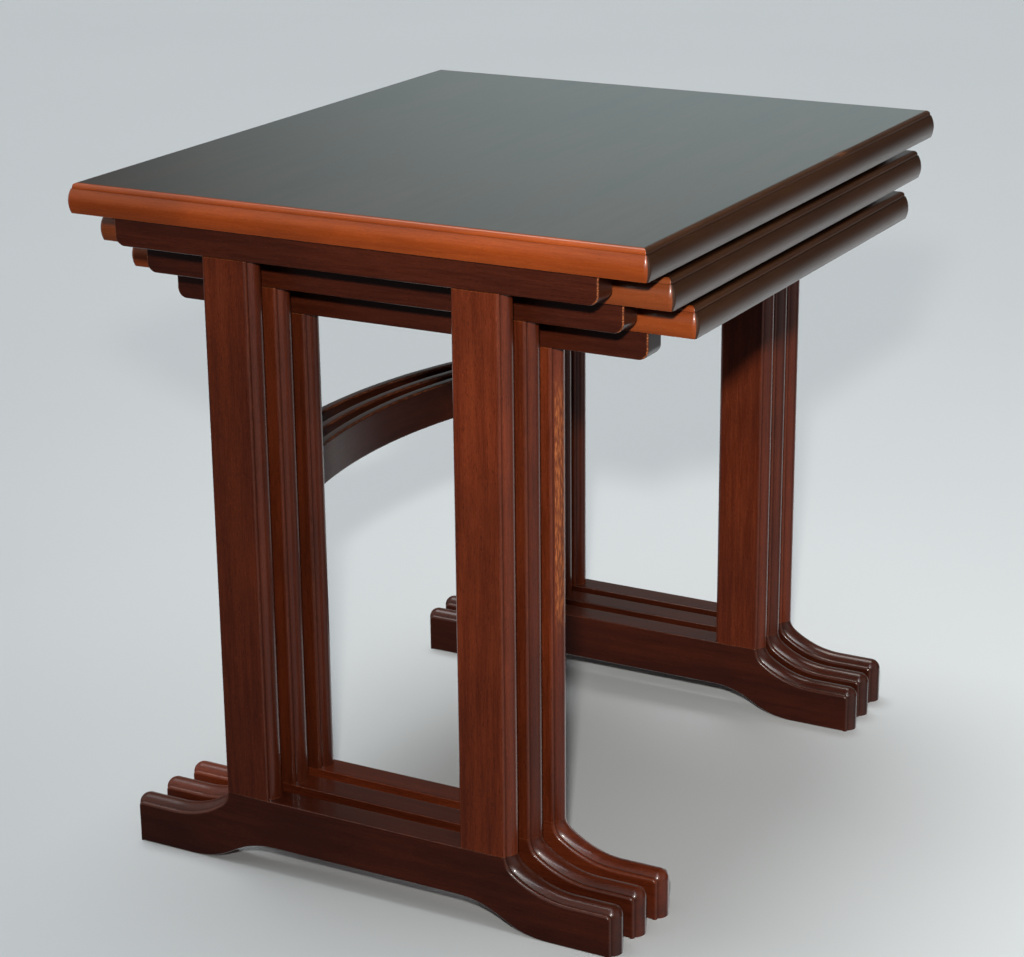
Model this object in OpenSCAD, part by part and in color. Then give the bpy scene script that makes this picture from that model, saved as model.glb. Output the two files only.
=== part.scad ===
// Nest of three side tables in stained and lacquered hardwood.
// X runs side to side, Y from front (-) to rear (+), Z up from the floor.
// The origin is on the floor, in the middle of the nest.

/* [Tops] */
// Width of the largest top, side to side
top_w = 571.5; // [560:0.5:620]
// Depth of every top, front to back
top_d = 494; // [480:1:560]
// Height of the largest table
top_h = 550; // [520:1:600]
// Thickness of the tops
top_t = 23.4; // [23:0.1:25]
// Width of the solid lipping round each veneered panel
lipping_w = 22; // [20:1:30]
// Thickness of the tongue round each panel
tongue_t = 6; // [4:0.5:8]
// Length of the tongue round each panel
tongue_l = 7; // [4:0.5:9]

/* [Top edge moulding] */
// Distance from the flat of the top to its widest point
edge_inset = 7; // [6.5:0.1:8]
// Radius of the small round next to the flat
edge_round_r = 3.4; // [2.5:0.1:4]
// Depth of the step below the flat
edge_step = 4.3; // [4.1:0.1:5]
// Depth of the widest point below the flat
edge_belly = 14.4; // [13:0.1:16]
// Radius of the large round
edge_belly_r = 20; // [18:1:26]

/* [Nest] */
// How much narrower the next table is, on each side
nest_pitch = 35; // [32:0.5:38]
// Air between one top and the next one below it
nest_gap = 4.9; // [3:0.1:8]
// How far each smaller table stands forward of the next larger one
nest_step = 2.5; // [2:0.5:4]

/* [End frames] */
// Distance from the side of a top to the outer face of its end frame
frame_inset = 5.25; // [4:0.25:8]
// Thickness of the end frames, side to side
frame_t = 23; // [22:0.5:24]
// Length of the bearers under the top, front to back
bearer_l = 412; // [390:1:440]
// Height of the bearers
bearer_h = 22; // [21:0.5:26]
// Radius of the bearers' lower end corners
bearer_r = 8; // [4:0.5:10]
// Distance between the middles of the front and rear posts
post_pitch = 215; // [205:1:225]
// Width of the flat on a post's side
post_flat = 34; // [32:0.5:38]

/* [Frame moulding] */
// How far the moulding stands out from the flats
mould_h = 7; // [6:0.5:7.5]
// Radius of the small round beside each flat
mould_round_r = 2.6; // [2:0.1:3]
// Radius of the middle bead
mould_bead_r = 9.2; // [9:0.1:9.6]

/* [Feet] */
// Height of the foot between the posts
foot_h = 63; // [60:1:70]
// Height of the flat along the toe
toe_h = 32; // [30:0.5:34]
// Distance from the middle of the foot to the end of the toe's flat
toe_reach = 214; // [208:1:222]
// Radius of the upper part of the cove
cove_tight_r = 18; // [17:0.5:20]
// Height of the arch under the middle of the foot
arch_h = 22; // [16:1:24]
// Distance from the middle of the foot to the start of the arch's curve
arch_flat = 85; // [75:1:90]
// Distance from the middle of the foot to the start of the toe's tread
tread_start = 163; // [150:1:170]

/* [Bowed stretchers] */
// Radius of the bow's front face
bow_r = 480; // [470:1:520]
// Thickness of the bow
bow_t = 9; // [8:0.5:9]
// Height of the bow
bow_h = 36; // [30:1:44]
// Height of the bow's lower edge above the floor
bow_z = 265; // [200:1:300]
// Distance from the middle of the table to the bow's front face at its ends
bow_end_y = 119.5; // [119:0.5:120]

/* [Joints] */
// Thickness of the posts' tenons
tenon_t = 10; // [8:1:12]
// Width of the posts' tenons
tenon_w = 30; // [24:1:32]
// Length of the tenons that enter the feet
foot_tenon_l = 18; // [12:1:24]
// Length of the tenons that enter the bearers
bearer_tenon_l = 12; // [8:1:16]
// Thickness of the bows' tenons
bow_tenon_t = 6; // [5:0.5:6]
// Height of the bows' tenons
bow_tenon_h = 24; // [16:1:28]
// Length of the bows' tenons
bow_tenon_l = 11; // [8:1:12]
// Distance between the screws along a bearer
screw_pitch = 130; // [120:1:140]
// Radius of the screws' shanks
screw_r = 2; // [1.5:0.1:2.5]
// Radius of the screws' heads
screw_head_r = 4; // [3.5:0.1:4.5]
// Depth of each screw's counterbore in the bearer
screw_sink = 7; // [5:0.5:9]
// Depth that the screws reach into the top
screw_bite = 14; // [10:1:16]

/* [Hidden] */
$fn = 96;
TABLES = ["large", "medium", "small"];
SIDES = ["left", "right"];
PARTS = [
    "top_panel", "lipping_front", "lipping_rear", "lipping_left", "lipping_right",
    "bearer_left", "bearer_right",
    "front_post_left", "front_post_right", "rear_post_left", "rear_post_right",
    "foot_left", "foot_right", "bowed_stretcher", "top_screws"
];

TOP_COLOUR = [0.30, 0.13, 0.07];
LIPPING_COLOUR = [0.55, 0.24, 0.10];
FRAME_COLOUR = [0.34, 0.12, 0.06];
STEEL_COLOUR = [0.72, 0.71, 0.68];

screws_per_bearer = 3;
screw_clearance = 0.3;
curve_step = 5; // degrees between an outline's points on a round stretch
overlap = 1; // how far fused shapes run into each other
mould_root = 4; // how far the moulding runs back below the flats
toe_corner_r = 1.5;
core_inset = 2; // how far a foot's core stays inside its moulded edge

nest_drop = top_t + nest_gap;
ledge_inset = edge_inset - edge_round_r;
post_y = post_pitch / 2;
flat_end = post_y + post_flat / 2;

// The cove's two arcs turn together from straight down to level.
// They meet where the slope is 4 down to 3 along.
cove_turn = atan2(4, 3);
cove_sin = 0.8;
cove_cos = 0.6;
cove_wide_r = (foot_h - toe_h - cove_tight_r * cove_sin) / (1 - cove_sin);
cove_joint_y = flat_end + cove_tight_r * (1 - cove_cos);
cove_end_y = cove_joint_y + cove_wide_r * cove_cos;

// The arch under a foot rises in two equal arcs, one each way.
arch_run = (tread_start - arch_flat) / 2;
arch_turn = 2 * atan(arch_h / 2 / arch_run);
arch_r = arch_run / sin(arch_turn);

function table_w(i) = top_w - 2 * nest_pitch * i;
function table_h(i) = top_h - nest_drop * i;
function table_y(i) = nest_step * (1 - i);
function frame_out(i) = table_w(i) / 2 - frame_inset;
function frame_mid(i) = frame_out(i) - frame_t / 2;
function bearer_z(i) = table_h(i) - top_t - bearer_h;
function side_sign(side) = side == "left" ? -1 : 1;

// Points of an arc round centre c, from angle a to angle b.
function arc(c, r, a, b) =
    let (n = ceil(abs(b - a) / curve_step))
    [for (k = [0:n]) c + r * [cos(a + (b - a) * k / n), sin(a + (b - a) * k / n)]];

// Outline of a top's moulded section, w wide, with the flat at height 0.
module top_section(w) {
    intersection() {
        translate([-w / 2, -top_t]) square([w, top_t - edge_step]);
        union() {
            translate([edge_belly_r - w / 2, -top_t]) square([w - 2 * edge_belly_r, top_t]);
            for (s = [-1, 1])
                translate([s * (w / 2 - edge_belly_r), -edge_belly]) circle(edge_belly_r);
        }
    }
    translate([ledge_inset - w / 2, -edge_step - overlap])
        square([w - 2 * ledge_inset, edge_step + overlap - edge_round_r]);
    translate([edge_inset - w / 2, -edge_step]) square([w - 2 * edge_inset, edge_step]);
    for (s = [-1, 1])
        translate([s * (w / 2 - edge_inset), -edge_round_r]) circle(edge_round_r);
}

// A whole top with the moulding mitred round its four sides.
module moulded_board(i) {
    w = table_w(i);
    translate([0, 0, table_h(i)]) intersection() {
        rotate([90, 0, 0]) linear_extrude(top_d + 2, center = true) top_section(w);
        rotate([90, 0, 90]) linear_extrude(w + 2, center = true) top_section(top_d);
    }
}

module panel_blank(i) {
    w = table_w(i) - 2 * lipping_w;
    d = top_d - 2 * lipping_w;
    translate([-w / 2, -d / 2, table_h(i) - top_t]) cube([w, d, top_t]);
    translate([-w / 2 - tongue_l, -d / 2 - tongue_l, table_h(i) - (top_t + tongue_t) / 2])
        cube([w + 2 * tongue_l, d + 2 * tongue_l, tongue_t]);
}

module top_panel(i) {
    color(TOP_COLOUR) difference() {
        panel_blank(i);
        screw_shanks(i);
    }
}

// One side's share of the lipping. Its ends are mitred at 45 degrees.
module lipping(i, turn, length, reach) {
    color(LIPPING_COLOUR) difference() {
        intersection() {
            moulded_board(i);
            rotate(turn) linear_extrude(top_h + overlap) polygon([
                [-length / 2, -reach / 2],
                [length / 2, -reach / 2],
                [length / 2 - lipping_w, lipping_w - reach / 2],
                [lipping_w - length / 2, lipping_w - reach / 2]
            ]);
        }
        panel_blank(i);
        screw_shanks(i);
    }
}

// Places its children at the middle of each screw of table i, at height 0.
module at_screws(i) {
    for (s = [-1, 1])
        for (k = [0:screws_per_bearer - 1])
            translate([s * frame_mid(i), (k - (screws_per_bearer - 1) / 2) * screw_pitch, 0])
                children();
}

module screw_shanks(i) {
    at_screws(i) translate([0, 0, bearer_z(i) + screw_sink])
        cylinder(r = screw_r, h = bearer_h - screw_sink + screw_bite);
}

module top_screws(i) {
    color(STEEL_COLOUR) {
        screw_shanks(i);
        at_screws(i) translate([0, 0, bearer_z(i) + screw_sink])
            cylinder(r1 = screw_head_r, r2 = screw_r, h = screw_head_r - screw_r);
    }
}

module bearer(i, side) {
    half = bearer_l / 2;
    color(FRAME_COLOUR) difference() {
        translate([side_sign(side) * frame_mid(i), 0, bearer_z(i)])
            rotate([90, 0, 90]) linear_extrude(frame_t, center = true) polygon(concat(
                arc([bearer_r - half, bearer_r], bearer_r, 180, 270),
                arc([half - bearer_r, bearer_r], bearer_r, 270, 360),
                [[half, bearer_h], [-half, bearer_h]]
            ));
        at_screws(i) translate([0, 0, bearer_z(i) - overlap])
            cylinder(r = screw_r + screw_clearance, h = bearer_h + 2 * overlap);
        at_screws(i) translate([0, 0, bearer_z(i) - overlap])
            cylinder(r = screw_head_r + screw_clearance, h = screw_sink + overlap + screw_head_r - screw_r);
        for (s = [-1, 1]) post_tenon(i, side, s * post_y, bearer_z(i), bearer_tenon_l);
    }
}

// A tenon of length l that stands up from height z, or hangs down if l is negative.
module post_tenon(i, side, y, z, l) {
    translate([side_sign(side) * frame_mid(i) - tenon_t / 2, y - tenon_w / 2, min(z, z + l)])
        cube([tenon_t, tenon_w, abs(l)]);
}

// Moulding on one edge: the edge's flats end at y = 0, and the bead points along +Y.
module edge_profile() {
    intersection() {
        translate([0, mould_h - mould_bead_r]) circle(mould_bead_r);
        translate([-frame_t / 2, -mould_root]) square([frame_t, mould_h + mould_root + overlap]);
    }
    for (s = [-1, 1]) translate([s * (frame_t / 2 - mould_round_r), 0]) circle(mould_round_r);
    translate([-frame_t / 2, -mould_root]) square([frame_t, mould_root]);
}

module post_section() {
    square([frame_t, post_flat - mould_root], center = true);
    for (s = [0, 1]) mirror([0, s]) translate([0, post_flat / 2]) edge_profile();
}

module post(i, side, y) {
    color(FRAME_COLOUR) difference() {
        union() {
            translate([side_sign(side) * frame_mid(i), y, foot_h])
                linear_extrude(bearer_z(i) - foot_h) post_section();
            post_tenon(i, side, y, foot_h + overlap, -foot_tenon_l - overlap);
            post_tenon(i, side, y, bearer_z(i) - overlap, bearer_tenon_l + overlap);
        }
        bow_tenons(i);
    }
}

// Half of a foot's flat outline, from the middle to the toe, as [distance from middle, height].
function foot_half() = concat(
    [[0, foot_h], [flat_end - core_inset, foot_h]],
    arc([flat_end + cove_tight_r, foot_h], cove_tight_r + core_inset, 180, 180 + cove_turn),
    arc([cove_end_y, toe_h + cove_wide_r], cove_wide_r + core_inset, 180 + cove_turn, 270),
    [[toe_reach - core_inset, toe_h - core_inset], [toe_reach - core_inset, 0]],
    arc([tread_start, arch_r], arch_r, 270, 270 - arch_turn),
    arc([arch_flat, arch_h - arch_r], arch_r, 90 - arch_turn, 90),
    [[0, arch_h]]
);

// The edge profile swept round centre c from angle a, through a turn, in the foot's own plane.
// The flats lie at radius r. The bead points inwards on a cove and outwards on a corner.
module swept_edge(c, r, a, turn, inwards) {
    translate(c) rotate(a) mirror([0, turn < 0 ? 1 : 0, 0])
        rotate_extrude(angle = abs(turn)) intersection() {
            translate([r, 0]) rotate(inwards ? 90 : -90) edge_profile();
            translate([0, -frame_t]) square([r + cove_wide_r, 2 * frame_t]);
        }
}

// The edge profile run straight from point p for a length l, in direction a.
// The bead points to the left of that direction.
module straight_edge(p, l, a) {
    translate(p) rotate(a) rotate([0, 90, 0]) linear_extrude(l) edge_profile();
}

// The moulded edge of one toe, drawn in X (distance from middle) and Y (height).
module toe_edge() {
    corner = [toe_reach - toe_corner_r, toe_h - toe_corner_r];
    swept_edge([flat_end + cove_tight_r, foot_h], cove_tight_r, 180, cove_turn, true);
    swept_edge([cove_end_y, toe_h + cove_wide_r], cove_wide_r, 270, cove_turn - 90, true);
    straight_edge([cove_end_y, toe_h], corner[0] - cove_end_y, 0);
    swept_edge(corner, toe_corner_r, 0, 90, false);
    straight_edge([toe_reach, corner[1]], corner[1], -90);
}

module foot(i, side) {
    color(FRAME_COLOUR) difference() {
        translate([side_sign(side) * frame_mid(i), 0, 0])
            for (s = [0, 1]) mirror([0, s, 0]) rotate([90, 0, 90]) {
                linear_extrude(frame_t, center = true) polygon(foot_half());
                toe_edge();
            }
        for (s = [-1, 1]) post_tenon(i, side, s * post_y, foot_h, -foot_tenon_l);
    }
}

// Middle of the circle that table i's bow follows, front to back.
function bow_centre_y(i) = bow_end_y - sqrt(pow(bow_r, 2) - pow(frame_out(i) - frame_t, 2));

module bow_tenons(i) {
    inner = frame_out(i) - frame_t;
    for (s = [0, 1]) mirror([s, 0, 0])
        translate([inner - overlap, bow_end_y + bow_t / 6, bow_z + (bow_h - bow_tenon_h) / 2])
            cube([bow_tenon_l + overlap, bow_tenon_t, bow_tenon_h]);
}

module bowed_stretcher(i) {
    inner = frame_out(i) - frame_t;
    color(FRAME_COLOUR) {
        translate([0, 0, bow_z]) linear_extrude(bow_h) intersection() {
            translate([0, bow_centre_y(i)]) difference() {
                circle(bow_r + bow_t, $fn = 360);
                circle(bow_r, $fn = 360);
            }
            translate([-inner, 0]) square([2 * inner, bow_r]);
        }
        bow_tenons(i);
    }
}

module lipping_across(i, turn) {
    lipping(i, turn, table_w(i), top_d);
}

module lipping_along(i, turn) {
    lipping(i, turn, top_d, table_w(i));
}

for (i = [0:len(TABLES) - 1]) translate([0, table_y(i), 0]) {
    name = str(TABLES[i], "_");
    top_panel(i);
    lipping_across(i, 0);
    lipping_across(i, 180);
    lipping_along(i, -90);
    lipping_along(i, 90);
    bowed_stretcher(i);
    top_screws(i);
    for (side = SIDES) {
        bearer(i, side);
        post(i, side, -post_y);
        post(i, side, post_y);
        foot(i, side);
    }
}
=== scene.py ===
"""Looks for a nest of three side tables in stained and lacquered mahogany.

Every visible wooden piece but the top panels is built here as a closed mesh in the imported
model's frame, with eased arrises, and stands for the CAD node of the same name. The panels and
the screws are the CAD's own, with better materials. Metres, +Z up.
"""
import random
from math import asin, atan2, cos, degrees, pi, radians, sin, sqrt

import bmesh
import bpy
from mathutils import Matrix, Vector


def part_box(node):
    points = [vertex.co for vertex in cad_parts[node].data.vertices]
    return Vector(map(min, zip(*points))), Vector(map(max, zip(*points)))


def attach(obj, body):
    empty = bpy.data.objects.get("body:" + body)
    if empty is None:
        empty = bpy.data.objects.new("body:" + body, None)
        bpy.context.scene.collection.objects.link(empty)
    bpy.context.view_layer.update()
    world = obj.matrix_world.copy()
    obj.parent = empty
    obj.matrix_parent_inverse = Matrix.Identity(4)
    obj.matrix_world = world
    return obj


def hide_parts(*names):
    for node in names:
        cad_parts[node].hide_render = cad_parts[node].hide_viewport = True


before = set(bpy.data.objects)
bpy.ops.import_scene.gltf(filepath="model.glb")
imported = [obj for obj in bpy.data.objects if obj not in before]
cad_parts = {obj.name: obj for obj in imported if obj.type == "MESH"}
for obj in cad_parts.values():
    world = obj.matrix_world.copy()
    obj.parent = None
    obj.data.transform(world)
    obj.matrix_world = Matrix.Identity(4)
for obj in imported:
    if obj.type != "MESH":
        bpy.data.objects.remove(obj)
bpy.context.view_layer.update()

MM = 0.001
TABLES = ("large", "medium", "small")
SIDES = ("left", "right")

# Sizes that the CAD boxes don't give, as in the part's source.
LIPPING_W = 22 * MM
EDGE_INSET = 7 * MM
EDGE_ROUND_R = 3.4 * MM
EDGE_STEP = 4.3 * MM
EDGE_BELLY = 14.4 * MM
EDGE_BELLY_R = 20 * MM
FRAME_T = 23 * MM
BEARER_R = 8 * MM
POST_PITCH = 215 * MM
POST_FLAT = 34 * MM
MOULD_H = 7 * MM
MOULD_ROUND_R = 2.6 * MM
MOULD_BEAD_R = 9.2 * MM
TOE_H = 32 * MM
TOE_REACH = 214 * MM
TOE_CORNER_R = 1.5 * MM
COVE_TIGHT_R = 18 * MM
COVE_SIN, COVE_COS = 0.8, 0.6
ARCH_H = 22 * MM
ARCH_FLAT = 85 * MM
TREAD_START = 163 * MM
BOW_R = 480 * MM
BOW_T = 9 * MM
SCREW_PITCH = 130 * MM
BORE_R = 4.3 * MM
BORE_DEPTH = 9 * MM

# Softening that the CAD leaves out, and the steps of the curves.
TOP_CORNER_R = 4.5 * MM
BOARD_EASE = 0.8 * MM
BEARER_EASE = 1.3 * MM
FOOT_TOP_EASE = 0.8 * MM
FOOT_EASE = 1.3 * MM
BOW_EASE = 2.2 * MM
JOINT_LINE = 0.9 * MM
COVE_LAP = 14 * MM
BEARER_POINTS = 25
BOW_STEPS = 48
BORE_SIDES = 24
CORNER_ANGLES = (45, 30, 15, 0)
MERGE_DISTANCE, SLIVER_DISTANCE = 2e-6, 1e-6
SHARP_ANGLE = 38
FLAT_FACE_WEIGHT = 60

# Two marks: a chip out of the large top's front arris, where the finish wore through, and one
# post's bead drawn lighter and oranger at mid height, bare wood with a painted sheen.
NICK_X, NICK_HALF, NICK_DEEP, NICK_REACH = 78 * MM, 15 * MM, 0.55 * MM, 1.1 * MM
NICK_STEPS, NICK_WEAR = 24, 0.75
RUB_SHEEN_POST, RUB_SHEEN_LOW, RUB_SHEEN_HIGH = ("small", "left", "front"), 205 * MM, 442 * MM
RUB_SHEEN_STEPS, RUB_SHEEN_LEVEL, RUB_SHEEN_RISE, RUB_SHEEN_DEPTH = 20, 0.72, 1.4, 0.4 * MOULD_H

# Values of the vertices' "edge" attribute. Above 0 the finish wore through to bare wood, and on one
# bead this is also a painted sheen. Below 0 the wood is drawn darker: painted shade in the creases
# and under the lippings' step, and end grain that takes the stain darker.
SHADED_CREASE, END_GRAIN, CLEAN, HANDLED, RUBBED = -1.0, -1.4, 0.0, 0.32, 1.0
ROUND_WEAR, SIDE_WEAR, BEAD_WEAR, BOW_WEAR, JOINT_WEAR = 0.2, 0.25, 0.22, 0.4, 0.5
# The lippings' belly is drawn darkest just under the step and lighter downwards: painted shade.
BELLY_SHADE, BELLY_SHADE_FADE, BELLY_WEAR = -0.7, 0.16, 0.1


# ---------------------------------------------------------------- mesh helpers

def arc(centre, radius, start, end, steps):
    """Points of an arc, and the directions from its centre, with angles in degrees."""
    found = []
    for k in range(steps + 1):
        a = radians(start + (end - start) * k / steps)
        d = (cos(a), sin(a))
        found.append(((centre[0] + radius * d[0], centre[1] + radius * d[1]), d))
    return found


def make_piece(name, rings, closed, grain, tagged=None, bores=None):
    """A closed mesh through rings of (x, y, z, edge) points, which all have one length.

    closed joins the last ring to the first, and the piece's two sides are then the rings' first
    and last points. grain(x, y, z) gives (along, across, through) the grain. tagged(a face's
    centre, its normal) gives its material slot, and bores(mesh) cuts holes."""
    bm = bmesh.new()
    edge = bm.verts.layers.float.new("edge")
    made = []
    for ring in rings:
        row = []
        for x, y, z, edge_mark in ring:
            v = bm.verts.new((x, y, z))
            v[edge] = edge_mark
            row.append(v)
        made.append(row)
    count, length = len(made), len(made[0])
    for i in range(count if closed else count - 1):
        a, b = made[i], made[(i + 1) % count]
        for k in range(length - 1 if closed else length):
            n = (k + 1) % length
            bm.faces.new((a[k], a[n], b[n], b[k]))
    if closed:
        bm.faces.new([row[0] for row in made])
        bm.faces.new([row[-1] for row in made])
    else:
        bm.faces.new(made[0])
        bm.faces.new(made[-1])
    bmesh.ops.remove_doubles(bm, verts=bm.verts, dist=MERGE_DISTANCE)
    bmesh.ops.dissolve_degenerate(bm, dist=SLIVER_DISTANCE, edges=bm.edges)
    if bores:
        bores(bm)
    bmesh.ops.recalc_face_normals(bm, faces=bm.faces)
    if tagged:
        for face in bm.faces:
            face.material_index = tagged(face.calc_center_median(), face.normal)
    mesh = bpy.data.meshes.new(name)
    bm.to_mesh(mesh)
    bm.free()
    shift = random.Random(name)
    offset = Vector((shift.uniform(0, 9), shift.uniform(0, 9), shift.uniform(0, 9)))
    layer = mesh.attributes.new("grain", "FLOAT_VECTOR", "POINT")
    for v in mesh.vertices:
        layer.data[v.index].vector = Vector(grain(*v.co)) + offset
    mesh.shade_smooth()
    mesh.set_sharp_from_angle(angle=radians(SHARP_ANGLE))
    piece = bpy.data.objects.new(name, mesh)
    bpy.context.scene.collection.objects.link(piece)
    weighted = piece.modifiers.new("face weighted normals", "WEIGHTED_NORMAL")
    weighted.keep_sharp = True
    weighted.weight = FLAT_FACE_WEIGHT
    return piece


def install(piece, node, table, materials, tone):
    """Puts the piece in the place of its CAD node, with its finish and its own tone, which is stain
    on some pieces and painted shade on others.
    """
    for material in materials:
        piece.data.materials.append(material)
    piece.color = (*tone, 1)
    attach(piece, f"{table}_table")
    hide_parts(node)


# ---------------------------------------------------------------- profiles

def moulded_profile():
    """(across, out, edge) from one side face of a post to the other: round, bead, round."""
    half = FRAME_T / 2
    cx, cz = half - MOULD_ROUND_R, MOULD_H - MOULD_BEAD_R
    apart = sqrt(cx * cx + cz * cz)
    along = (MOULD_BEAD_R**2 - MOULD_ROUND_R**2 + apart**2) / (2 * apart)
    rise = sqrt(MOULD_BEAD_R**2 - along**2)
    ux, uz = cx / apart, -cz / apart
    crease_x, crease_z = along * ux - rise * uz, cz + along * uz + rise * ux
    round_end = degrees(atan2(crease_z, crease_x - cx))
    bead_start = degrees(atan2(crease_z - cz, crease_x))
    side = [(p, z, SIDE_WEAR * sin(1.5 * atan2(z, p - cx))) for (p, z), _ in
            arc((cx, 0), MOULD_ROUND_R, 0, round_end, 6)]
    side[0] = (*side[0][:2], CLEAN)
    # The crease is drawn dark: painted shade.
    side[-1] = (crease_x, crease_z, SHADED_CREASE)
    bead = [(p, z, BEAD_WEAR * max(0.0, 1 - abs(p) / (0.6 * half))) for (p, z), _ in
            arc((0, cz), MOULD_BEAD_R, bead_start, 180 - bead_start, 14)][1:-1]
    right = side + bead
    left = [(-p, z, edge_mark) for p, z, edge_mark in reversed(side)]
    return list(reversed(right + left))


def eased_profile(ease, points, arris=HANDLED, flat_face=CLEAN):
    """The same for a plain edge with eased arrises, in a given number of points."""
    half = FRAME_T / 2
    steps = 4
    left = [(p, z, arris * sin(pi * k / steps)) for k, ((p, z), _) in
            enumerate(arc((ease - half, -ease), ease, 180, 90, steps))]
    flat = points - 2 * len(left)
    span = 2 * (half - ease)
    middle = [(ease - half + span * (k + 1) / (flat + 1), 0.0, flat_face) for k in range(flat)]
    right = [(-p, z, edge_mark) for p, z, edge_mark in reversed(left)]
    return left + middle + right


def board_profile():
    """(inset, depth, edge) of a lipping, round from the top's flat to its inner face.

    The point at NICK_REACH keeps the nick's slope to the arris."""
    points = [(LIPPING_W, 0.0, CLEAN), (EDGE_INSET + NICK_REACH, 0.0, CLEAN),
              (EDGE_INSET, 0.0, CLEAN)]
    small = arc((EDGE_INSET, -EDGE_ROUND_R), EDGE_ROUND_R, 90, 180, 6)[1:]
    points += [(p, z, ROUND_WEAR) for (p, z), _ in small]
    ledge = EDGE_INSET - EDGE_ROUND_R
    # The crease at the step is drawn dark: painted shade.
    points.append((ledge, -EDGE_STEP, SHADED_CREASE))
    drop = EDGE_BELLY - EDGE_STEP
    start = 180 - degrees(asin(drop / EDGE_BELLY_R))
    rise = (-EDGE_BELLY + BOARD_T - BOARD_EASE) / EDGE_BELLY_R
    end = 180 + degrees(asin(rise))
    belly = arc((EDGE_BELLY_R, -EDGE_BELLY), EDGE_BELLY_R, start, end, 12)
    # The belly is drawn darkest under the step and lighter downwards: painted shade.
    points += [(p, z, min(BELLY_WEAR, BELLY_SHADE + BELLY_SHADE_FADE * k))
               for k, ((p, z), _) in enumerate(belly)]
    foot = points[-1][0]
    points += [(foot + 0.25 * BOARD_EASE, -BOARD_T + 0.3 * BOARD_EASE, HANDLED),
               (foot + 0.9 * BOARD_EASE, -BOARD_T, HANDLED), (LIPPING_W, -BOARD_T, CLEAN)]
    return points


# ---------------------------------------------------------------- pieces

def lipping(table, side, turn):
    """One side of a top's lipping, with its mitred ends and rounded outer corners."""
    low, high = TOP_BOX[table]
    size = high - low
    middle = (low + high) / 2
    length, reach = (size.x, size.y) if side in ("front", "rear") else (size.y, size.x)
    spin = Matrix.Rotation(radians(turn), 3, "Z")
    profile = board_profile()
    nicked = table == "large" and side == "front"

    def place(u, inset, depth, edge_mark):
        at = spin @ Vector((u, inset - reach / 2, 0))
        return (middle.x + at.x, middle.y + at.y, high.z + depth, edge_mark)

    def nicked_ring(u, fade):
        ring = []
        for inset, depth, edge_mark in profile:
            on_arris = inset < EDGE_INSET + 1 * MM and depth > -2 * MM
            sinks = EDGE_INSET - 4 * MM < inset < EDGE_INSET + 1 * MM and depth > -3 * MM
            ring.append(place(u, inset, depth - fade * NICK_DEEP * sinks,
                              max(edge_mark, NICK_WEAR * fade * on_arris)))
        return ring

    def corner_ring(end, angle):
        ring = []
        for inset, depth, edge_mark in profile:
            r = TOP_CORNER_R - inset
            if r > 0:
                u = length / 2 - TOP_CORNER_R + r * sin(radians(angle))
                ring.append(place(end * u, TOP_CORNER_R - r * cos(radians(angle)), depth, edge_mark))
            else:
                ring.append(place(end * (length / 2 - inset), inset, depth, edge_mark))
        return ring

    rings = [corner_ring(-1, angle) for angle in CORNER_ANGLES]
    if nicked:
        for k in range(NICK_STEPS + 1):
            u = NICK_X + NICK_HALF * (2 * k / NICK_STEPS - 1)
            wobble = random.Random(k).uniform(0.4, 1.0)
            rings.append(nicked_ring(u, wobble * max(0.0, 1 - ((u - NICK_X) / NICK_HALF) ** 2)))
    rings += [corner_ring(1, angle) for angle in reversed(CORNER_ANGLES)]

    def veneered(centre, normal):
        return 1 if normal.z > 0.9 and centre.z > high.z - 0.05 * MM else 0

    across = side in ("front", "rear")
    return make_piece(f"{table}_lipping_{side}_look", rings, False,
                      lambda x, y, z: (x, y, z) if across else (y, x, z), tagged=veneered)


def post(table, side, place):
    """A post with the moulding down its front and rear edges."""
    low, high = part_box(f"{table}_{place}_post_{side}")
    x, y = (low.x + high.x) / 2, (low.y + high.y) / 2
    foot_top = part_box(f"{table}_foot_{side}")[1].z
    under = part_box(f"{table}_bearer_{side}")[0].z
    profile = moulded_profile()
    front = [(p, -POST_FLAT / 2 - out, edge_mark) for p, out, edge_mark in profile]
    rear = [(p, POST_FLAT / 2 + out, edge_mark) for p, out, edge_mark in reversed(profile)]
    rings = []
    levels = [foot_top + JOINT_LINE, under - JOINT_LINE]
    rubbed_and_sheen = (table, side, place) == RUB_SHEEN_POST
    # One bead is drawn lighter and oranger at mid height: bare wood with a painted sheen.
    if rubbed_and_sheen:
        levels[1:1] = [RUB_SHEEN_LOW + (RUB_SHEEN_HIGH - RUB_SHEEN_LOW) * k / RUB_SHEEN_STEPS
                       for k in range(RUB_SHEEN_STEPS + 1)]
    for z in [foot_top] + levels + [under]:
        joint = JOINT_WEAR if z in (foot_top, under) else 0.0
        rub_and_sheen = 0.0
        if rubbed_and_sheen and RUB_SHEEN_LOW < z < RUB_SHEEN_HIGH:
            rub_and_sheen = min(RUB_SHEEN_LEVEL, RUB_SHEEN_RISE * sin(pi * (z - RUB_SHEEN_LOW) / (RUB_SHEEN_HIGH - RUB_SHEEN_LOW)))
        ring = []
        for p, q, edge_mark in front + rear:
            if rub_and_sheen and q < -POST_FLAT / 2 - RUB_SHEEN_DEPTH:
                edge_mark = max(edge_mark, rub_and_sheen)
            ring.append((x + p, y + q, z, joint or edge_mark))
        rings.append(ring)
    return make_piece(f"{table}_{place}_post_{side}_look", rings, False,
                      lambda x, y, z: (z, x, y))


def ring_at(x, y, point, normal, profile):
    """The profile across a frame's thickness, at one point of its outline."""
    return [(x + p, y + point[0] + normal[0] * out, point[1] + normal[1] * out, edge_mark)
            for p, out, edge_mark in profile]


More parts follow.
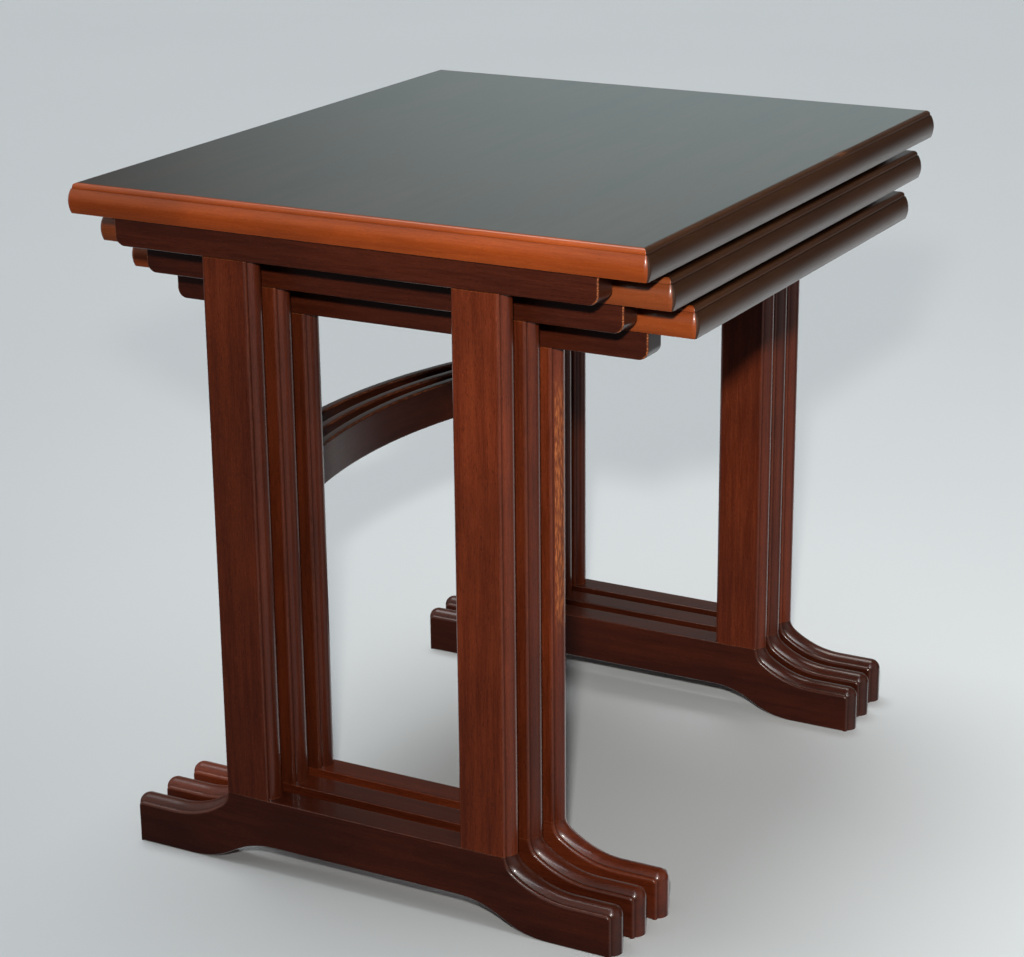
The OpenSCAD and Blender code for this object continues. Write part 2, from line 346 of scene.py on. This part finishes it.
def foot_half(foot_h, moulded, top, under):
    """One half of a foot's outline, middle to toe and back: [(point, normal, profile)]."""
    flat_end = (POST_PITCH + POST_FLAT) / 2
    turn = degrees(atan2(COVE_SIN, COVE_COS))
    wide_r = (foot_h - TOE_H - COVE_TIGHT_R * COVE_SIN) / (1 - COVE_SIN)
    cove_end = flat_end + COVE_TIGHT_R * (1 - COVE_COS) + wide_r * COVE_COS
    run = (TREAD_START - ARCH_FLAT) / 2
    arch_turn = 2 * degrees(atan2(ARCH_H / 2, run))
    arch_r = run / sin(radians(arch_turn))

    def inward(points):
        return [(p, (-d[0], -d[1])) for p, d in points]

    path = [((flat_end - COVE_LAP, foot_h), (0, 1), top)]
    tight = inward(arc((flat_end + COVE_TIGHT_R, foot_h), COVE_TIGHT_R, 180, 180 + turn, 14))
    wide = inward(arc((cove_end, TOE_H + wide_r), wide_r, 180 + turn, 270, 16))
    corner_at = (TOE_REACH - TOE_CORNER_R, TOE_H - TOE_CORNER_R)
    corner = arc(corner_at, TOE_CORNER_R, 90, 0, 8)
    path += [(p, d, moulded) for p, d in tight + wide[1:] + corner]
    path += [((TOE_REACH, 0.0), (1, 0), moulded),
             ((TOE_REACH - FOOT_EASE, 0.0), (0, -1), under)]
    sole = arc((TREAD_START, arch_r), arch_r, 270, 270 - arch_turn, 8)
    sole += inward(arc((ARCH_FLAT, ARCH_H - arch_r), arch_r, 90 - arch_turn, 90, 8))[1:]
    return path + [(p, d, under) for p, d in sole]


def foot(table, side):
    """A sledge foot: flat between the posts, moulded along its toes, arched underneath."""
    low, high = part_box(f"{table}_foot_{side}")
    x, y = (low.x + high.x) / 2, (low.y + high.y) / 2
    moulded = moulded_profile()
    top = eased_profile(FOOT_TOP_EASE, len(moulded))
    under = eased_profile(FOOT_EASE, len(moulded))
    half = foot_half(high.z, moulded, top, under)
    rings = [ring_at(x, y, p, n, prof) for p, n, prof in half]
    rings += [ring_at(x, y, (-p[0], p[1]), (-n[0], n[1]), prof)
              for p, n, prof in reversed(half)]
    return make_piece(f"{table}_foot_{side}_look", rings, True, lambda x, y, z: (y, z, x))


def bearer(table, side):
    """A bearer with rounded lower ends, eased arrises and three counterbored screw holes."""
    low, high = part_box(f"{table}_bearer_{side}")
    x, y = (low.x + high.x) / 2, (low.y + high.y) / 2
    half = (high.y - low.y) / 2
    along = eased_profile(BEARER_EASE, BEARER_POINTS)
    across = eased_profile(BEARER_EASE, BEARER_POINTS, RUBBED, END_GRAIN)
    path = arc((half - BEARER_R, low.z + BEARER_R), BEARER_R, 270, 360, 8)
    path += arc((half - BEARER_EASE, high.z - BEARER_EASE), BEARER_EASE, 0, 90, 4)
    path += arc((BEARER_EASE - half, high.z - BEARER_EASE), BEARER_EASE, 90, 180, 4)
    path += arc((BEARER_R - half, low.z + BEARER_R), BEARER_R, 180, 270, 8)
    rings = [ring_at(x, y, p, n, across if abs(n[0]) > 0.5 else along) for p, n in path]

    def bores(bm):
        inner = FRAME_T / 2 - BEARER_EASE + 0.01 * MM
        flat = [f for f in bm.faces
                if all(abs(v.co.z - low.z) < 1e-5 and abs(v.co.x - x) < inner for v in f.verts)]
        rim = {e for f in flat for e in f.edges if sum(g in flat for g in e.link_faces) == 1}
        bmesh.ops.delete(bm, geom=flat, context="FACES")
        for k in (-1, 0, 1):
            loops = []
            for z in (low.z, low.z + BORE_DEPTH):
                turns = [2 * pi * n / BORE_SIDES for n in range(BORE_SIDES)]
                loops.append([bm.verts.new((x + BORE_R * cos(a),
                                            y + k * SCREW_PITCH + BORE_R * sin(a), z))
                              for a in turns])
            for n in range(BORE_SIDES):
                m = (n + 1) % BORE_SIDES
                bm.faces.new((loops[0][n], loops[0][m], loops[1][m], loops[1][n]))
                rim.add(bm.edges.get((loops[0][n], loops[0][m])))
            bm.faces.new(loops[1])
        bmesh.ops.triangle_fill(bm, edges=[e for e in rim if e.is_valid], use_beauty=True)

    return make_piece(f"{table}_bearer_{side}_look", rings, True,
                      lambda x, y, z: (y, z, x), bores=bores)


def bow(table):
    """A bowed stretcher, swept along its circle between the two end frames."""
    low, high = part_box(f"{table}_bowed_stretcher")
    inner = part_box(f"{table}_bearer_right")[0].x
    centre_y = high.y - BOW_T - BOW_R
    section = []
    for at, start in (((BOW_T - BOW_EASE, low.z + BOW_EASE), 270),
                      ((BOW_T - BOW_EASE, high.z - BOW_EASE), 0),
                      ((BOW_EASE, high.z - BOW_EASE), 90), ((BOW_EASE, low.z + BOW_EASE), 180)):
        section += [(p, z, BOW_WEAR * sin(pi * k / 5)) for k, ((p, z), _) in
                    enumerate(arc(at, BOW_EASE, start, start + 90, 5))]
    rings = []
    for k in range(BOW_STEPS + 1):
        t = 2 * k / BOW_STEPS - 1
        ring = []
        for out, z, edge_mark in section:
            r = BOW_R + out
            a = t * asin(inner / r)
            ring.append((r * sin(a), centre_y + r * cos(a), z, edge_mark))
        rings.append(ring)
    return make_piece(f"{table}_bowed_stretcher_look", rings, False,
                      lambda x, y, z: (BOW_R * atan2(x, y - centre_y), z, y))


# ---------------------------------------------------------------- materials

# Noise cells per metre along the grain and across it, for each thing seen in stained wood.
FIGURE = (3.0, 42.0)
RIBBON = (7.0, 190.0)
FIBRES = (45.0, 1300.0)
PORES = (230.0, 2600.0)
FLECKS = (310.0, 1900.0)
BLOTCHES = (11.0, 17.0)
BREAKS = (130.0, 1000.0)
MARKS = (120.0, 260.0)


class Nodes:
    """Short calls for building one material's nodes."""

    def __init__(self, name):
        self.material = bpy.data.materials.new(name)
        self.material.use_nodes = True
        self.tree = self.material.node_tree
        self.shader = self.tree.nodes["Principled BSDF"]

    def node(self, kind, **settings):
        made = self.tree.nodes.new(kind)
        for key, value in settings.items():
            setattr(made, key, value)
        return made

    def feed(self, socket, value):
        if isinstance(value, bpy.types.NodeSocket):
            self.tree.links.new(value, socket)
        else:
            socket.default_value = value

    def maths(self, operation, a, b=0.0, clamp=False):
        made = self.node("ShaderNodeMath", operation=operation, use_clamp=clamp)
        self.feed(made.inputs[0], a)
        self.feed(made.inputs[1], b)
        return made.outputs[0]

    def stretched(self, vector, scale):
        made = self.node("ShaderNodeVectorMath", operation="MULTIPLY")
        self.feed(made.inputs[0], vector)
        made.inputs[1].default_value = scale
        return made.outputs[0]

    def noise(self, vector, detail=2.0, rough=0.5, distortion=0.0):
        made = self.node("ShaderNodeTexNoise")
        self.feed(made.inputs["Vector"], vector)
        made.inputs["Scale"].default_value = 1.0
        made.inputs["Detail"].default_value = detail
        made.inputs["Roughness"].default_value = rough
        made.inputs["Distortion"].default_value = distortion
        return made.outputs["Fac"]

    def between(self, value, low, high, to_low=0.0, to_high=1.0):
        """value mapped from low..high to to_low..to_high, with a smooth start and end."""
        made = self.node("ShaderNodeMapRange", interpolation_type="SMOOTHSTEP")
        for socket, amount in zip(made.inputs, (value, low, high, to_low, to_high)):
            self.feed(socket, amount)
        return made.outputs[0]

    def mix(self, share, a, b, blend="MIX"):
        made = self.node("ShaderNodeMix", data_type="RGBA", blend_type=blend)
        self.feed(made.inputs["Factor"], share)
        self.feed(made.inputs[6], a)
        self.feed(made.inputs[7], b)
        return made.outputs[2]


def wood(name, dark, light, rubbed_and_sheen, grain_source="attribute", rough=0.34, coat=0.35,
         coat_rough=0.12, specular=0.4, pore=0.55, scuffs=0.0, relief=0.3, uneven=0.055,
         toned=True):
    """Stained wood under lacquer: figure, fibres, pores, bare arrises where the finish wore
    through, painted shade in the creases and under the lippings' step, and a painted sheen on one
    bead.

    dark and light are its colours, and the third is bare wood, for the wear and the painted sheen.
    With toned, each piece's own colour multiplies dark and light, but not the third."""
    n = Nodes(name)
    if grain_source == "attribute":
        grain = n.node("ShaderNodeAttribute", attribute_name="grain").outputs["Vector"]
    else:
        grain = n.node("ShaderNodeTexCoord").outputs["Object"]
    edge_mark = n.node("ShaderNodeAttribute", attribute_name="edge").outputs["Fac"]

    def noise(cells, *settings):
        along, across = cells
        return n.noise(n.stretched(grain, (along, across, across)), *settings)

    figure = noise(FIGURE, 3.0, 0.55, 0.4)
    ribbon = noise(RIBBON, 2.0, 0.6)
    fibres = noise(FIBRES, 2.0, 0.6)
    pores = noise(PORES, 1.0, 0.5)
    flecks = noise(FLECKS, 1.0, 0.5)
    blotch = noise(BLOTCHES, 2.0, 0.5)
    breaks = noise(BREAKS, 3.0, 0.6)

    bands = n.maths("ADD", n.maths("MULTIPLY", figure, 0.55), n.maths("MULTIPLY", ribbon, 0.45))
    bands = n.maths("ADD", n.maths("MULTIPLY", bands, 0.72), n.maths("MULTIPLY", fibres, 0.28))
    colour = n.mix(n.between(bands, 0.36, 0.64), (*dark, 1), (*light, 1))
    if toned:
        tone = n.node("ShaderNodeObjectInfo").outputs["Color"]
        colour = n.mix(1.0, colour, tone, "MULTIPLY")
    shade = n.between(blotch, 0.3, 0.7, 0.86, 1.12)
    shade = n.maths("MULTIPLY", shade, n.between(pores, 0.60, 0.72, 1.0, 1.0 - pore))
    shade = n.maths("MULTIPLY", shade, n.between(flecks, 0.60, 0.74, 1.0, 1.0 + pore))
    # Below 0 the edge attribute darkens the wood: painted shade in the creases and under the
    # lippings' step, and darker end grain.
    shade = n.maths("MULTIPLY", shade, n.between(edge_mark, -2.0, 0.0, 0.10, 1.0))
    spread = n.node("ShaderNodeCombineColor")
    for socket in spread.inputs:
        n.feed(socket, shade)
    colour = n.mix(1.0, colour, spread.outputs[0], "MULTIPLY")
    # Above 0 it mixes in bare wood: where the finish wore through, and on one bead a painted sheen.
    rub_and_sheen = n.maths("MULTIPLY", n.between(edge_mark, 0.1, 1.0),
                  n.between(breaks, 0.42, 0.66, 0.12, 1.0))
    if scuffs:
        marks = noise(MARKS, 4.0, 0.7)
        rub_and_sheen = n.maths("MAXIMUM", rub_and_sheen, n.between(marks, 0.745 - scuffs, 0.79 - scuffs, 0.0, 0.5))
    colour = n.mix(rub_and_sheen, colour, (*rubbed_and_sheen, 1))
    n.feed(n.shader.inputs["Base Color"], colour)

    roughness = n.between(fibres, 0.3, 0.7, rough - uneven, rough + uneven)
    roughness = n.maths("ADD", roughness, n.maths("MULTIPLY", rub_and_sheen, 0.14), clamp=True)
    n.feed(n.shader.inputs["Roughness"], roughness)
    n.shader.inputs["Specular IOR Level"].default_value = specular
    n.shader.inputs["Coat Weight"].default_value = coat
    n.shader.inputs["Coat Roughness"].default_value = coat_rough
    height = n.maths("ADD", n.maths("MULTIPLY", fibres, 0.5),
                     n.between(pores, 0.60, 0.74, 0.0, -1.0))
    bump = n.node("ShaderNodeBump")
    bump.inputs["Strength"].default_value = relief
    bump.inputs["Distance"].default_value = 0.08 * MM
    n.feed(bump.inputs["Height"], height)
    n.feed(n.shader.inputs["Normal"], bump.outputs[0])
    return n.material


def steel():
    """Zinc-plated steel: cloudy, slightly scratched metal."""
    n = Nodes("zinc plated steel")
    at = n.node("ShaderNodeTexCoord").outputs["Object"]
    cloud = n.noise(n.stretched(at, (420.0, 420.0, 420.0)), 3.0, 0.6)
    scratch = n.noise(n.stretched(at, (3000.0, 600.0, 600.0)), 2.0, 0.6)
    n.feed(n.shader.inputs["Base Color"],
           n.mix(n.between(cloud, 0.35, 0.65), (0.42, 0.42, 0.40, 1), (0.66, 0.65, 0.61, 1)))
    n.shader.inputs["Metallic"].default_value = 1.0
    n.feed(n.shader.inputs["Roughness"], n.between(scratch, 0.3, 0.7, 0.28, 0.5))
    bump = n.node("ShaderNodeBump")
    bump.inputs["Strength"].default_value = 0.2
    bump.inputs["Distance"].default_value = 0.05 * MM
    n.feed(bump.inputs["Height"], scratch)
    n.feed(n.shader.inputs["Normal"], bump.outputs[0])
    return n.material


def pale_floor():
    """A plain pale studio floor with a very faint unevenness."""
    n = Nodes("pale floor")
    at = n.node("ShaderNodeTexCoord").outputs["Object"]
    cloud = n.noise(n.stretched(at, (1.3, 1.3, 1.3)), 3.0, 0.5)
    n.feed(n.shader.inputs["Base Color"],
           n.mix(cloud, (0.76, 0.80, 0.82, 1), (0.80, 0.84, 0.86, 1)))
    n.shader.inputs["Roughness"].default_value = 0.75
    n.shader.inputs["Specular IOR Level"].default_value = 0.2
    return n.material


# ---------------------------------------------------------------- the nest

def top_box(table):
    """Lowest and highest corner of a whole top."""
    boxes = [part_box(f"{table}_lipping_{side}") for side in ("left", "right", "front", "rear")]
    return (Vector(min(b[0][k] for b in boxes) for k in range(3)),
            Vector(max(b[1][k] for b in boxes) for k in range(3)))


TOP_BOX = {table: top_box(table) for table in TABLES}
BOARD_T = TOP_BOX["large"][1].z - TOP_BOX["large"][0].z

VENEER = wood("dark veneer", (0.020, 0.0085, 0.005), (0.042, 0.017, 0.009), (0.10, 0.045, 0.025),
              grain_source="object", rough=0.30, coat=0.55, coat_rough=0.16, specular=0.5, pore=0.3,
              relief=0.02, uneven=0.008, toned=False)
LIPPING = wood("lipping", (0.31, 0.053, 0.007), (0.42, 0.080, 0.012), (0.55, 0.17, 0.05),
               rough=0.36, coat=0.45, coat_rough=0.14, specular=0.45, pore=0.25, relief=0.12)
FRAME = wood("frame mahogany", (0.115, 0.0175, 0.0045), (0.215, 0.038, 0.0105), (0.62, 0.19, 0.055),
             rough=0.36, coat=0.35, coat_rough=0.13, specular=0.40, pore=0.5, scuffs=0.01,
             relief=0.16)
STEEL = steel()

# How single pieces are drawn darker, lighter or greyer than the finish's own colour. On the front
# and rear lippings this is painted shade with a painted grey reflection, on the rear posts and the
# right feet painted shade, and on the left feet their own stain. The side lippings, bows, bearers
# and front posts are simply drawn at these tones.
# The front and rear lippings are drawn darker and greyer: painted shade with a painted grey
# reflection.
FRONT_EDGE_SHADE = (0.138, 0.27, 0.62)
SIDE_EDGE = {"large": (0.92, 0.91, 0.86), "medium": (0.63, 0.76, 1.25), "small": (0.86, 0.92, 1.1)}
BOW_TONE = (0.24, 0.28, 0.35)
BEARER_TONE = (0.33, 0.33, 0.36)
FOOT_TONE = {"large": 0.37, "medium": 0.62, "small": 0.88}
# The right feet are drawn darker than the left ones: painted shade.
RIGHT_FOOT_SHADE = 0.32
# The rear posts are drawn darker than the front ones: painted shade.
POST_TONE_AND_SHADE = {"large": {"front": 0.90, "rear": 0.62}, "medium": {"front": 0.60, "rear": 0.56},
             "small": {"front": 0.87, "rear": 0.43}}


def even(level):
    """The same finish, darker or lighter all over."""
    return (level, level, level)


for table in TABLES:
    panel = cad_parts[f"{table}_top_panel"]
    panel.data.materials.clear()
    panel.data.materials.append(VENEER)
    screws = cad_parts[f"{table}_top_screws"]
    screws.data.materials.clear()
    screws.data.materials.append(STEEL)
    for side, turn in (("front", 0), ("right", 90), ("rear", 180), ("left", -90)):
        tone = FRONT_EDGE_SHADE if side in ("front", "rear") else SIDE_EDGE[table]
        install(lipping(table, side, turn), f"{table}_lipping_{side}", table,
                [LIPPING, VENEER], tone)
    install(bow(table), f"{table}_bowed_stretcher", table, [FRAME], BOW_TONE)
    for side in SIDES:
        install(bearer(table, side), f"{table}_bearer_{side}", table, [FRAME],
                BEARER_TONE)
        install(foot(table, side), f"{table}_foot_{side}", table, [FRAME],
                even(FOOT_TONE[table] if side == "left" else RIGHT_FOOT_SHADE))
        for place in ("front", "rear"):
            install(post(table, side, place), f"{table}_{place}_post_{side}", table,
                    [FRAME], even(POST_TONE_AND_SHADE[table][place]))


# ---------------------------------------------------------------- studio

def disc(name, radius, sides=96):
    """A flat round floor at height 0."""
    bm = bmesh.new()
    bmesh.ops.create_circle(bm, cap_ends=True, radius=radius, segments=sides)
    mesh = bpy.data.meshes.new(name)
    bm.to_mesh(mesh)
    bm.free()
    made = bpy.data.objects.new(name, mesh)
    bpy.context.scene.collection.objects.link(made)
    return made


def direction(azimuth, elevation):
    """Unit vector from the nest towards an azimuth and elevation, in degrees. Azimuth 0 is -Y."""
    a, e = radians(azimuth), radians(elevation)
    return Vector((sin(a) * cos(e), -cos(a) * cos(e), sin(e)))


def lamp(name, kind, azimuth, elevation, distance, power, colour, at, **settings):
    """A lamp at a distance from a point, turned towards that point."""
    data = bpy.data.lights.new(name, kind)
    data.energy = power
    data.color = colour
    for key, value in settings.items():
        setattr(data, key, value)
    made = bpy.data.objects.new(name, data)
    made.location = Vector(at) + direction(azimuth, elevation) * distance
    made.rotation_euler = direction(azimuth, elevation).to_track_quat("Z", "Y").to_euler()
    bpy.context.scene.collection.objects.link(made)
    return made


# The photo's floor is darker than this one, which is kept out of bounced and mirrored light.
floor = disc("floor", 16.0)
floor.data.materials.append(pale_floor())
floor.visible_diffuse = False
floor.visible_glossy = False

MIDDLE = (0, 0, 0.34)
key = lamp("key", "SPOT", -63, 23, 2.3, 180, (1.0, 0.96, 0.90), MIDDLE,
           spot_size=radians(55), spot_blend=1.0, shadow_soft_size=0.05)
KEY_AIM = Vector((-0.28, -0.46, 0.73))
key.rotation_euler = (key.location - KEY_AIM).to_track_quat("Z", "Y").to_euler()
lamp("overhead", "SUN", 150, 74, 6.0, 1.46, (0.97, 0.99, 1.0), MIDDLE, angle=radians(37))

# The fills light only the nest, and the wash lights only the floor.
fills = [lamp("front fill", "AREA", 10, 12, 4.0, 16, (1.0, 0.97, 0.94), MIDDLE,
              shape="DISK", size=2.4),
         lamp("right fill", "AREA", 72, 24, 4.0, 45, (1.0, 0.98, 0.96), MIDDLE,
              shape="DISK", size=2.4),
         lamp("rear fill", "AREA", 196, 24, 4.0, 60, (1.0, 0.98, 0.96), MIDDLE,
              shape="DISK", size=2.4)]
wash = lamp("floor wash", "SUN", 0, 90, 6.0, 0.60, (1.0, 1.0, 1.0), MIDDLE, angle=radians(70))
floor_only = bpy.data.collections.new("floor only")
floor_only.objects.link(floor)
wash.light_linking.receiver_collection = floor_only
nest_only = bpy.data.collections.new("all but the floor")
nest_only.objects.link(floor)
nest_only.collection_objects[0].light_linking.link_state = "EXCLUDE"
for one in fills:
    one.light_linking.receiver_collection = nest_only
    one.visible_glossy = False

# Two lamps that show only in the lacquer.
shine = [lamp("tall shine", "AREA", -62, 46, 2.6, 17, (0.88, 0.93, 1.0), MIDDLE,
              shape="ELLIPSE", size=0.4, size_y=2.6),
         lamp("warm shine", "AREA", 112, 66, 2.6, 5, (1.0, 0.74, 0.48), MIDDLE,
              shape="ELLIPSE", size=0.5, size_y=1.1)]
for one in shine:
    one.visible_diffuse = False
    one.visible_camera = False


# What the camera sees past the floor, which is as bright as the far floor.
BACKDROP = (0.502, 0.536, 0.550)


def studio_world():
    """Plain and pale to the camera. What lights the nest is a dim room with soft bright areas,
    which the lacquer mirrors."""
    world = bpy.data.worlds.new("studio")
    world.use_nodes = True
    tree = world.node_tree
    background = tree.nodes["Background"]
    at = tree.nodes.new("ShaderNodeTexCoord")

    def maths(operation, a, b):
        made = tree.nodes.new("ShaderNodeMath")
        made.operation = operation
        tree.links.new(a, made.inputs[0])
        tree.links.new(b, made.inputs[1])
        return made.outputs[0]

    def ramp(value, low, high, to_low, to_high):
        made = tree.nodes.new("ShaderNodeMapRange")
        made.interpolation_type = "SMOOTHSTEP"
        tree.links.new(value, made.inputs["Value"])
        made.inputs["From Min"].default_value = low
        made.inputs["From Max"].default_value = high
        made.inputs["To Min"].default_value = to_low
        made.inputs["To Max"].default_value = to_high
        return made.outputs["Result"]

    split = tree.nodes.new("ShaderNodeSeparateXYZ")
    tree.links.new(at.outputs["Generated"], split.inputs[0])
    # A level band just above the horizon.
    above = ramp(split.outputs["Z"], sin(radians(1)), sin(radians(8)), 0.0, 1.0)
    below = ramp(split.outputs["Z"], sin(radians(13.5)), sin(radians(18)), 1.0, 0.0)
    band = maths("MULTIPLY", above, below)
    ray = tree.nodes.new("ShaderNodeLightPath")
    mirrored = ray.outputs["Is Glossy Ray"]

    def lobe(azimuth, elevation, outer, inner, level, colour, only=None):
        """Light from round one direction, from its full level at inner to none at outer."""
        facing = tree.nodes.new("ShaderNodeVectorMath")
        facing.operation = "DOT_PRODUCT"
        facing.inputs[1].default_value = direction(azimuth, elevation)
        tree.links.new(at.outputs["Generated"], facing.inputs[0])
        level = ramp(facing.outputs["Value"], cos(radians(outer)), cos(radians(inner)), 0.0, level)
        if only:
            level = maths("MULTIPLY", level, only)
        tint = tree.nodes.new("ShaderNodeVectorMath")
        tint.operation = "SCALE"
        tint.inputs[0].default_value = colour
        tree.links.new(level, tint.inputs["Scale"])
        return tint.outputs[0]

    total = None
    for part in (lobe(106, 9, 26, 8, 0.60, (0.80, 1.02, 1.03), band),
                 lobe(104, -36, 49, 21, 0.78, (0.97, 1.0, 1.0)),
                 lobe(-8, -20, 50, 15, 0.38, (1.0, 0.92, 0.90), mirrored),
                 lobe(200, 30, 55, 10, 0.35, (0.97, 1.0, 1.0), mirrored),
                 lobe(8, 26, 40, 10, 0.35, (1.0, 0.99, 0.97), mirrored),
                 lobe(-98, 24, 38, 8, 0.30, (1.0, 0.98, 0.95), mirrored),
                 lobe(0, -90, 95, 60, 0.07, (0.80, 0.95, 1.10)),
                 lobe(0, 90, 95, 60, 0.05, (0.95, 1.0, 1.0))):
        if total is None:
            total = part
            continue
        joined = tree.nodes.new("ShaderNodeVectorMath")
        tree.links.new(total, joined.inputs[0])
        tree.links.new(part, joined.inputs[1])
        total = joined.outputs[0]
    seen = tree.nodes.new("ShaderNodeMix")
    seen.data_type = "RGBA"
    tree.links.new(ray.outputs["Is Camera Ray"], seen.inputs["Factor"])
    tree.links.new(total, seen.inputs[6])
    seen.inputs[7].default_value = (*BACKDROP, 1)
    tree.links.new(seen.outputs[2], background.inputs["Color"])
    bpy.context.scene.world = world


studio_world()
bpy.context.scene.view_settings.view_transform = "Standard"
bpy.context.scene.view_settings.look = "None"

# ---------------------------------------------------------------- camera

CAMERA_AT = Vector((-1.838952, -0.984646, 0.967883))
AZIMUTH, ELEVATION, ROLL = -61.384, 18.639, -0.569
FOCAL, SENSOR = 91.43, 36.0

back = direction(AZIMUTH, ELEVATION)
right = Vector((0, 0, 1)).cross(back).normalized()
up = back.cross(right)
tilt = radians(ROLL)
axes = (cos(tilt) * right + sin(tilt) * up, cos(tilt) * up - sin(tilt) * right, back)
camera_data = bpy.data.cameras.new("camera")
camera_data.lens = FOCAL
camera_data.sensor_width = SENSOR
camera = bpy.data.objects.new("camera", camera_data)
camera.matrix_world = Matrix.Translation(CAMERA_AT) @ Matrix(axes).transposed().to_4x4()
bpy.context.scene.collection.objects.link(camera)
bpy.context.scene.camera = camera
